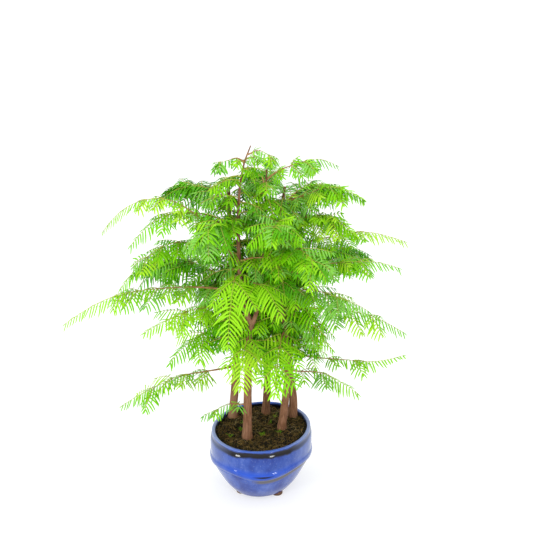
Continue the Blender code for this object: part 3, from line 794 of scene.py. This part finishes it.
class Foliage:
    """The twigs and needles gathered while the boughs grow."""

    def __init__(self, chance):
        self.chance = chance
        self.limbs = Batch()
        self.twigs = Batch()
        self.ranks = {tint: [] for tint in TINTS}

    def deal(self, tints):
        """One tint dealt out by chance."""
        return tints[self.chance.integers(len(tints))]

    def needle_row(self, line, up, tint, length, start=0.0):
        """Two ranks of needles along a line, shorter towards both ends, in the plane square to up."""
        chance = self.chance
        reach = reach_along(line)
        spacing = NEEDLE_SPACING * max(1.0, length / NEEDLE_LENGTH)
        places = np.arange(start * reach[-1] + 0.5 * spacing, reach[-1], spacing)
        if not len(places):
            return
        base = read_off(places, reach, line)
        ahead = unit(read_off(places, reach, directions(line)))
        upward = unit(up - ahead * (ahead @ up)[:, None])
        side = np.cross(ahead, upward)
        share = places / reach[-1]
        swell = np.sin(np.pi * np.clip(share * NEEDLE_CROWDING, 0, 1))
        size = length * (NEEDLE_END_SHARE + (1 - NEEDLE_END_SHARE) * swell)
        size = size * (1 - NEEDLE_TIP_LOSS * share ** 4)
        for hand in (-1, 1):
            swing = chance.normal(0, NEEDLE_ANGLE_SPREAD, len(places))
            angle = np.radians(NEEDLE_ANGLE - NEEDLE_ANGLE_LOSS * share ** 3 + swing)
            heading = ahead * np.cos(angle)[:, None] + hand * side * np.sin(angle)[:, None]
            rise = chance.normal(NEEDLE_ROOF, NEEDLE_ROOF_SPREAD, len(places))
            heading = unit(heading + upward * rise[:, None])
            sized = size * chance.uniform(*NEEDLE_SIZES, len(places))
            droop = NEEDLE_DROOP * chance.uniform(*NEEDLE_DROOP_RANGE, len(places))
            self.ranks[tint].append(Rank(base, heading, upward, ahead, sized, droop))
        # The last needle points straight on and sweeps a little to one side
        last = Rank(base[-1:], ahead[-1:], upward[-1:], side[-1:], size[-1:] * LAST_NEEDLE_SIZE,
                    np.array([LAST_NEEDLE_DROOP]))
        self.ranks[tint].append(last)

    def twig(self, start, heading, up, length, tint, droop, needle):
        """One side twig: an arching line with needles in two ranks."""
        count = max(TWIG_LEAST_ROWS, int(length / TWIG_STEP))
        share = np.linspace(0, 1, count)[:, None]
        sway = unit(np.cross(heading, up)) * self.chance.normal(0, TWIG_SWAY)
        line = start + heading * length * share + sway * length * share ** 2
        line = line - UP * droop * length * share ** 2
        radii = np.linspace(TWIG_RADIUS, TWIG_RADIUS * TWIG_TAPER, count)
        self.twigs.add(*tube(line, radii, TWIG_SIDES))
        self.needle_row(line, up, tint, needle, start=TWIG_BARE)

    def paired_twig(self, joint, hand, along, width, needle, tints):
        """One of an opposite pair of twigs."""
        chance = self.chance
        swing = chance.normal(0, TWIG_ANGLE_SPREAD)
        angle = math.radians(TWIG_ANGLE - TWIG_ANGLE_LOSS * along + swing)
        side = joint.across * hand
        rise = joint.upward * chance.normal(TWIG_RISE, TWIG_RISE_SPREAD)
        heading = unit(joint.ahead * math.cos(angle) + side * math.sin(angle) + rise)
        length = 0.5 * width * chance.uniform(*TWIG_SIZES)
        lean = unit(joint.upward + side * chance.normal(0.0, TWIG_LEAN))
        tint = self.deal(tints)
        droop = TWIG_DROOP * chance.uniform(*TWIG_DROOP_RANGE)
        needle = needle * chance.uniform(*NEEDLE_PAIR_SIZES)
        self.twig(joint.point, heading, lean, length, tint, droop, needle)

    def loose_twig(self, joint, width, needle, tints):
        """A twig that leaves its limb in any direction above or below it."""
        chance = self.chance
        side = joint.across * chance.uniform(*LOOSE_ACROSS)
        heading = unit(joint.ahead * LOOSE_AHEAD + side + joint.upward * chance.uniform(*LOOSE_RISE))
        lean = unit(joint.upward + joint.ahead * chance.uniform(*LOOSE_LEAN) + side)
        tint = self.deal(tints)
        length = LOOSE_LENGTH_SHARE * width
        self.twig(joint.point, heading, lean, length, tint, TWIG_DROOP, needle * LOOSE_NEEDLE_SHARE)

    def spray(self, line, up, width, tints, needle=NEEDLE_LENGTH, bare=0.0, spacing=TWIG_SPACING,
              loose=LOOSE_TWIGS, last=TWIG_LAST):
        """A limb's twigs: opposite pairs that shorten outwards, and needles on the last stretch."""
        chance = self.chance
        reach = reach_along(line)
        headings = directions(line)
        needle = needle * min(1.0, max(LEAST_NEEDLE_SHARE, width / FULL_WIDTH))
        place = (bare + TWIG_FIRST) * reach[-1]
        while place < last * reach[-1]:
            ahead = unit(read_off(place, reach, headings))
            upward = unit(up - ahead * (ahead @ up))
            joint = Joint(read_off(place, reach, line), ahead, upward, np.cross(ahead, upward))
            along = (place / reach[-1] - bare) / (1 - bare)
            local_width = width * spray_outline(along)
            for hand in (-1, 1):
                self.paired_twig(joint, hand, along, local_width, needle, tints)
            for _ in range(chance.poisson(loose)):
                self.loose_twig(joint, local_width, needle, tints)
            place += spacing * chance.uniform(*TWIG_SPACING_RANGE)
        tail = line[int(max(bare, TAIL_START) * len(line)):]
        self.needle_row(tail, up, self.deal(tints), needle)

    def limb(self, bough):
        """A bough's limb to the tip of its line: woody with bark relief inside, a young twig outside."""
        shares = np.linspace(0, 1, LIMB_ROWS)
        line = bough_line(bough, shares)
        sway = np.sin(LIMB_SWAY_RATE * shares + self.chance.uniform(0, math.tau))
        line[:, 2] += LIMB_SWAY * sway * shares * (1 - shares) * 4
        base = BOUGH_LEAST_RADIUS + BOUGH_RADIUS_SHARE * bough.reach
        inner_taper = 1 - BOUGH_INNER_TAPER * np.minimum(shares / WOODY_SHARE, 1.0)
        radii = base * inner_taper * (1 - BOUGH_TAPER * shares)
        relief = bark_relief(shares * bough.reach, LIMB_SIDES, LIMB_RELIEF, self.chance)
        woody = int(WOODY_SHARE * LIMB_ROWS)
        self.limbs.add(*tube(line[:woody + 1], radii[:woody + 1], LIMB_SIDES, relief[:woody + 1]))
        self.twigs.add(*tube(line[woody:], radii[woody:], LIMB_OUTER_SIDES))
        return line

    def bough(self, bough, tints):
        """A bough's limb and its sprays. A deep mass gets two more, tilted to either side."""
        line = self.limb(bough)
        front = bough.name.startswith("front")
        low = bough.height < LOW_LEVEL
        in_crown = bough.height > CROWN_LEVEL and not front
        self.spray(
            line, UP, bough.width * (SIDE_WIDTH_SHARE if tints == SIDE_TINTS else 1.0), tints,
            needle=NEEDLE_LENGTH * (FRONT_NEEDLE_SHARE if front else 1.0),
            bare=max(bough.bare * BARE_SHARE, LEAST_BARE),
            spacing=TWIG_SPACING * (FRONT_TWIG_SHARE if front else LOW_TWIG_SHARE if low else 1.0),
            loose=CROWN_LOOSE_TWIGS if in_crown else LOOSE_TWIGS,
            last=FRONT_TWIG_LAST if bough.name in PINNATE_BOUGHS else TWIG_LAST)
        if bough.depth > DEEP_MASS:
            bearing = math.radians(bough.bearing)
            side = np.array([-math.sin(bearing), math.cos(bearing), 0])
            for lean in DEEP_LEANS:
                self.spray(line, unit(UP + side * lean), bough.width * DEEP_WIDTH_SHARE, tints,
                           bare=DEEP_BARE)

    def shoot_bearing(self, number, crowned):
        """A shoot's bearing: all round and often to the front where crowned, elsewhere not in front."""
        chance = self.chance
        bearing = SHOOT_TURN * number + chance.uniform(-SHOOT_TURN_SPREAD, SHOOT_TURN_SPREAD)
        if not crowned:
            return math.radians(chance.uniform(*OTHER_BEARINGS))
        if number % SHOOT_ROUND < SHOOTS_IN_FRONT:
            return math.radians(chance.uniform(*FRONT_BEARINGS))
        return bearing

    def shoots(self, trunk, tints):
        """Short leafy shoots from a trunk at all heights, shorter towards its top."""
        chance = self.chance
        top = trunk.points[-1][2] - SHOOT_TOP_GAP
        along = np.linspace(0, 1, SHOOT_ROWS)
        for number in range(SHOOTS_PER_TRUNK):
            share = (number + chance.uniform()) / SHOOTS_PER_TRUNK
            height = SHOOT_LOWEST + (top - SHOOT_LOWEST) * share
            crowned = trunk.name in CROWNED_TRUNKS and height > CROWN_LEVEL
            bearing = self.shoot_bearing(number, crowned)
            length = chance.uniform(*SHOOT_LENGTHS) * (1 - SHOOT_LENGTH_LOSS * share)
            rise = chance.uniform(*SHOOT_LIFTS) * along - SHOOT_FALL * along ** 2
            line = np.stack([along * math.cos(bearing), along * math.sin(bearing), rise], axis=-1)
            line = place_on_trunk(trunk, height) + length * line
            self.twigs.add(*tube(line, np.linspace(*SHOOT_RADII, SHOOT_ROWS), SHOOT_SIDES))
            width = SHOOT_WIDTH * (1 - SHOOT_WIDTH_LOSS * share)
            self.spray(line, UP, width, tints, bare=SHOOT_BARE)

    def needle_points(self, tint):
        """The points of all needles of one tint: a keeled blade of three points across at each stop."""
        joined = (np.concatenate(part) for part in zip(*self.ranks[tint]))
        base, heading, upward, ahead, size, droop = joined
        stops = np.array(NEEDLE_STOPS)
        sweep = NEEDLE_SWEEP * size[:, None] * stops ** 2
        fall = (droop * size)[:, None] * stops ** 2
        middle = (base[:, None] + heading[:, None] * (size[:, None] * stops)[..., None]
                  + ahead[:, None] * sweep[..., None] - UP * fall[..., None])
        width = NEEDLE_WIDTH * np.clip(size / NEEDLE_LENGTH, *NEEDLE_WIDTH_SHARES)
        half = 0.5 * width[:, None] * np.array(NEEDLE_WIDTHS)
        edge = unit(np.cross(heading, upward))[:, None] * half[..., None]
        keel = upward[:, None] * (NEEDLE_KEEL * 2 * half)[..., None]
        points = np.stack([middle - edge, middle - keel, middle + edge], axis=2)
        return points.reshape(len(base), -1, 3)

    def make_needles(self, tint, masses):
        """One tint's needles in pieces of a moderate size. The first lime piece replaces the masses."""
        points = self.needle_points(tint)
        material = needle_material(tint)
        one = grid_faces(len(NEEDLE_STOPS), 3, closed=False)
        for number, start in enumerate(range(0, len(points), MOST_NEEDLES)):
            block = points[start:start + MOST_NEEDLES]
            offsets = np.arange(len(block))[:, None, None] * points.shape[1]
            batch = Batch()
            batch.add(block.reshape(-1, 3), (one[None] + offsets).reshape(-1, 4))
            stands_for = masses if tint == "lime" and number == 0 else ()
            batch.piece(f"needles_{tint}_{number}", material, "foliage", stands_for)

    def make_pieces(self, nodes):
        """Join limbs, twigs and needles, each kind and tint apart."""
        boughs = [node for node in nodes if node.endswith("_bough")]
        masses = [node for node in nodes if node.endswith("_foliage")]
        self.limbs.piece("bough_limbs", bark_material("limb_bark", *LIMB_BARK), "bark", boughs)
        self.twigs.piece("twigs", fine_material("young_twig", *YOUNG_TWIG, roughness=0.6), "bark")
        for tint in TINTS:
            self.make_needles(tint, masses)


def tints_for(bough):
    """The tints a bough's sprays are dealt, by where it hangs."""
    if bough.name.startswith("back"):
        return BACK_TINTS
    if bough.name.startswith(("crown", "top")):
        return TOP_TINTS
    if bough.name.startswith(("front", "left_hanging", "left_middle")):
        return FRONT_TINTS
    return SIDE_TINTS


def make_foliage(nodes):
    """Grow every bough and shoot, and make the pieces."""
    foliage = Foliage(np.random.default_rng(SEED))
    for bough in BOUGHS:
        foliage.bough(bough, tints_for(bough))
    for trunk in TRUNKS:
        foliage.shoots(trunk, TOP_TINTS)
    foliage.make_pieces(nodes)


def oval(points):
    """Points of the round pot moved to the oval one."""
    turn = np.array(Matrix.Rotation(POT_LONG_AXIS, 3, "Z"))
    shape = turn @ np.diag([POT_LONG_SHARE, POT_SHORT_SHARE, 1.0]) @ turn.T
    return points @ shape.T


def make_bowl():
    """The glazed bowl with its lip, waved ridge and closed underside."""
    outside = smooth_line([(radius, 0, height) for radius, height in POT_OUTLINE], POT_ROWS)
    inside = smooth_line([(radius, 0, height) for radius, height in POT_INSIDE], POT_INSIDE_ROWS)
    profile = np.vstack([inside, outside])
    turn = np.linspace(0, math.tau, POT_COLUMNS, endpoint=False)
    radius = profile[:, 0][:, None] * np.ones((1, POT_COLUMNS))
    height = profile[:, 2][:, None] * np.ones((1, POT_COLUMNS))
    wave = POT_RIDGE_WAVE * np.sin(POT_RIDGE_CRESTS * turn + POT_RIDGE_TURN)
    near = np.clip(1 - np.abs(height - POT_RIDGE_HEIGHT) / POT_RIDGE_SPAN, 0, 1)
    near[:len(inside)] = 0
    height = height + near * wave
    points = np.stack([radius * np.cos(turn), radius * np.sin(turn), height], axis=-1)
    middle = np.zeros((1, POT_COLUMNS, 3))
    middle[..., 2] = FOOT_HEIGHT
    points = np.concatenate([points, middle])
    batch = Batch()
    batch.add(oval(points.reshape(-1, 3)), grid_faces(len(points), POT_COLUMNS, closed=True)[:, ::-1])
    batch.piece("glazed_pot", glaze_material(), "glaze", ["pot"])


def make_feet():
    """The low feet of bare clay."""
    feet = Batch()
    for number in range(FOOT_COUNT):
        angle = FOOT_FIRST_ANGLE + math.tau * number / FOOT_COUNT
        x, y = FOOT_RING_RADIUS * math.cos(angle), FOOT_RING_RADIUS * math.sin(angle)
        line = [(x, y, level) for level in FOOT_LEVELS]
        feet.add(*tube(line, [FOOT_RADIUS * share for share in FOOT_SHARES], FOOT_SIDES))
    feet.piece("pot_feet", clay_material(), "glaze")


def soil_rise(x, y):
    """The soil's uneven surface above its level: a broad swell and finer waves."""
    x_turn, y_turn = (rate * place + start
                      for rate, place, start in zip(SOIL_SWELL_RATES, (x, y), SOIL_SWELL_STARTS))
    rise = SOIL_SWELL * np.sin(x_turn) * np.cos(y_turn)
    for height, x_rate, y_rate, start in SOIL_WAVES:
        rise = rise + height * np.sin(x_rate * x + y_rate * y + start)
    return rise


def make_soil_surface(chance):
    """Soil with a crumbly top, turned down at its edge."""
    rings = np.concatenate([np.linspace(0, SOIL_RADIUS, SOIL_RINGS), [SOIL_RADIUS]])
    turn = np.linspace(0, math.tau, SOIL_COLUMNS, endpoint=False)
    x = rings[:, None] * np.cos(turn)
    y = rings[:, None] * np.sin(turn)
    crumbs = chance.normal(0, SOIL_CRUMB, x.shape)
    crumbs[0] = 0
    z = SOIL_LEVEL + SOIL_PROUD + soil_rise(x, y) + crumbs
    z[-1] = SOIL_LEVEL - SOIL_EDGE_DEPTH
    points = oval(np.stack([x, y, z], axis=-1).reshape(-1, 3))
    batch = Batch()
    batch.add(points, grid_faces(len(rings), SOIL_COLUMNS, closed=True))
    batch.piece("soil_surface", soil_material(), "soil", ["soil"])


def strand(kind, clumps, chance):
    """The line of one curled strand on the soil, or nothing if it would cross the soil's edge."""
    angle = chance.uniform(0, math.tau)
    far = SOIL_RADIUS * LITTER_REACH * math.sqrt(chance.uniform(0, 1))
    place = np.array([far * math.cos(angle), far * math.sin(angle)])
    if kind.name == CLUMPED_LITTER:
        place = clumps[chance.integers(len(clumps))] + chance.normal(0, CLUMP_SPREAD, 2)
    if np.hypot(*place) > SOIL_RADIUS * LITTER_MOST_REACH:
        return None
    share = np.linspace(0, 1, LITTER_ROWS)
    heading = chance.uniform(0, math.tau) + chance.normal(0, 1.0) * share
    size = kind.length * chance.uniform(*LITTER_SIZES)
    x = place[0] + size * share * np.cos(heading)
    y = place[1] + size * share * np.sin(heading)
    rise = kind.lift * size * np.sin(share * LITTER_ARCH) * chance.uniform(*LITTER_RISES)
    if (np.hypot(x, y) > SOIL_RADIUS * LITTER_TIP_REACH).any():
        return None
    z = SOIL_LEVEL + LITTER_PROUD + soil_rise(x, y) + rise
    return oval(np.stack([x, y, z], axis=-1))


def make_litter(chance):
    """Mossy fibres, pale rootlets and green tufts."""
    taper = 1 - LITTER_TAPER * np.linspace(0, 1, LITTER_ROWS)
    for kind in LITTER:
        batch = Batch()
        clumps = chance.uniform(-1, 1, (CLUMP_COUNT, 2)) * SOIL_RADIUS * CLUMP_REACH
        for _ in range(kind.count):
            line = strand(kind, clumps, chance)
            if line is not None:
                batch.add(*tube(line, kind.radius * taper, LITTER_SIDES))
        batch.piece(kind.name, fine_material(kind.name, kind.dark, kind.light, roughness=0.85), "soil")


def make_light():
    """Soft even studio light: a white world and large soft panels."""
    world = bpy.data.worlds.new("studio")
    world.use_nodes = True
    background = world.node_tree.nodes["Background"]
    background.inputs["Color"].default_value = (1, 1, 1, 1)
    background.inputs["Strength"].default_value = WORLD_STRENGTH
    bpy.context.scene.world = world
    for panel in PANELS:
        light = bpy.data.lights.new(panel.name, "AREA")
        light.shape = "SQUARE"
        light.size = panel.size
        light.energy = panel.power
        thing = bpy.data.objects.new(panel.name, light)
        thing.location = panel.place
        towards = Vector(PANEL_AIM) - Vector(panel.place)
        thing.rotation_euler = towards.to_track_quat("-Z", "Y").to_euler()
        bpy.context.scene.collection.objects.link(thing)


def make_floor():
    """A plain pale floor."""
    bpy.ops.mesh.primitive_plane_add(size=FLOOR_SIZE, location=(0, 0, 0))
    floor = bpy.context.object
    floor.name = "floor"
    look = Look("pale_floor", roughness=0.9, specular=0.1)
    look.set("Base Color", (FLOOR_TONE, FLOOR_TONE, FLOOR_TONE, 1.0))
    look.set("Emission Color", (1.0, 1.0, 1.0, 1.0))
    look.set("Emission Strength", FLOOR_GLOW)
    floor.data.materials.append(look.material)


def make_camera():
    """The camera at the photograph's viewing angle."""
    data = bpy.data.cameras.new("camera")
    data.sensor_width = CAMERA_SENSOR
    data.lens = CAMERA_LENS
    camera = bpy.data.objects.new("camera", data)
    camera.location = CAMERA_PLACE
    camera.rotation_euler = (CAMERA_TILT, 0, 0)
    bpy.context.scene.collection.objects.link(camera)
    bpy.context.scene.camera = camera


def corners(box):
    """A box's two corners as plain lists."""
    return [list(corner) for corner in box]


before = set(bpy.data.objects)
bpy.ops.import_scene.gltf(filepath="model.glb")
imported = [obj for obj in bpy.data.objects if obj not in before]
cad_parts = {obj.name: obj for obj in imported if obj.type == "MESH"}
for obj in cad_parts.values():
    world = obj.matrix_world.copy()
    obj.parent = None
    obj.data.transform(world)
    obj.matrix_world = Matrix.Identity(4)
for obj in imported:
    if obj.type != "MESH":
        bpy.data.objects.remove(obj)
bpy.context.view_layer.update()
bpy.context.scene.view_settings.view_transform = "Standard"
make_camera()
make_light()
make_floor()
make_bowl()
make_feet()
soil_chance = np.random.default_rng(SEED + 1)
make_soil_surface(soil_chance)
make_litter(soil_chance)
make_trunks(random.Random(SEED + 2))
make_foliage(sorted(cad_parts))
